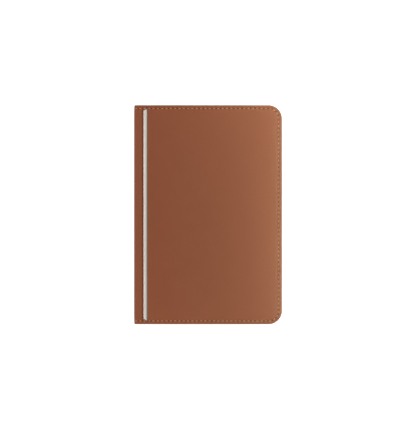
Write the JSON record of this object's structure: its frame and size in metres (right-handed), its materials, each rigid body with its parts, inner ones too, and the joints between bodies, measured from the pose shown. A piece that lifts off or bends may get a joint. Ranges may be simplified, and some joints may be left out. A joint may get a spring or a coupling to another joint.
{
  "type": "e-reader in folio cover",
  "caption": "Six-inch e-reader clipped in a stitched leather folio with a metal bar beside its front fold; the front cover opens until it lies back and the power key presses in.",
  "frame": {"origin": "middle of the folio's back face, on the surface it lies on", "axes": "+X from the spine to the opening edge, +Y up the page, +Z out of the front cover"},
  "size_m": [0.1124, 0.1666, 0.0146],
  "materials": {
    "tan_leather": "smooth satin leather with fine grain",
    "thread": "waxed polyester thread",
    "microfibre": "brushed microfibre",
    "greyboard": "pressed fibre board",
    "accent_metal": "satin anodised, warm silver",
    "tray_plastic": "fine matt texture",
    "casing_plastic": "matt charcoal",
    "page_film": "anti-glare film over electronic paper",
    "light_guide": "clear acrylic",
    "midframe_metal": "stamped",
    "steel": "plated",
    "magnet": "nickel plated",
    "pouch_foil": "laminated foil",
    "board_green": "solder mask",
    "chip_black": "moulded",
    "amber_film": "polyimide film",
    "wire_red": "soft sleeve",
    "adhesive": "adhesive film"
  },
  "bodies": {
    "folio": {"folio_leather": "tan_leather", "back_board": "greyboard", "spine_board": "greyboard", "band_board": "greyboard", "folio_lining": "microfibre", "hinge_bar": "accent_metal", "crease_hinge": "tan_leather", "tray_bond": "adhesive", "reader_tray": "tray_plastic", "rear_housing": "casing_plastic", "front_bezel": "casing_plastic", "midframe": "midframe_metal", "chassis_screws": "steel", "touch_glass": "page_film", "light_guide": "light_guide", "light_strip": "amber_film", "epaper_panel": "page_film", "display_flex": "amber_film", "battery": "pouch_foil", "battery_tape": "adhesive", "battery_lead": "wire_red", "main_board": "board_green", "board_screws": "steel", "processor_shield": "steel", "processor_chips": "chip_black", "radio_shield": "steel", "radio_chip": "chip_black", "board_parts": "chip_black", "board_connectors": "chip_black", "sleep_sensor": "chip_black", "antenna": "amber_film", "keeper_magnets": "magnet", "usb_shell": "steel", "usb_tongue": "chip_black", "switch_body": "steel"},
    "front_cover": {"cover_leather": "tan_leather", "cover_board": "greyboard", "cover_lining": "microfibre", "cover_magnets": "magnet"},
    "power_key": {"power_button": "casing_plastic", "switch_plunger": "chip_black"}
  },
  "joints": [
    {"name": "cover_hinge", "type": "hinge", "parent": "folio", "child": "front_cover", "pos_m": [-0.0462, 0, 0.0147], "axis": [0, -1, 0], "range_deg": [0, 179]},
    {"name": "power_press", "type": "slide", "parent": "folio", "child": "power_key", "axis": [0, 1, 0], "range_m": [0, 0.0003], "stiffness_N_per_m": 1500, "springref_m": -0.0003}
  ]
}
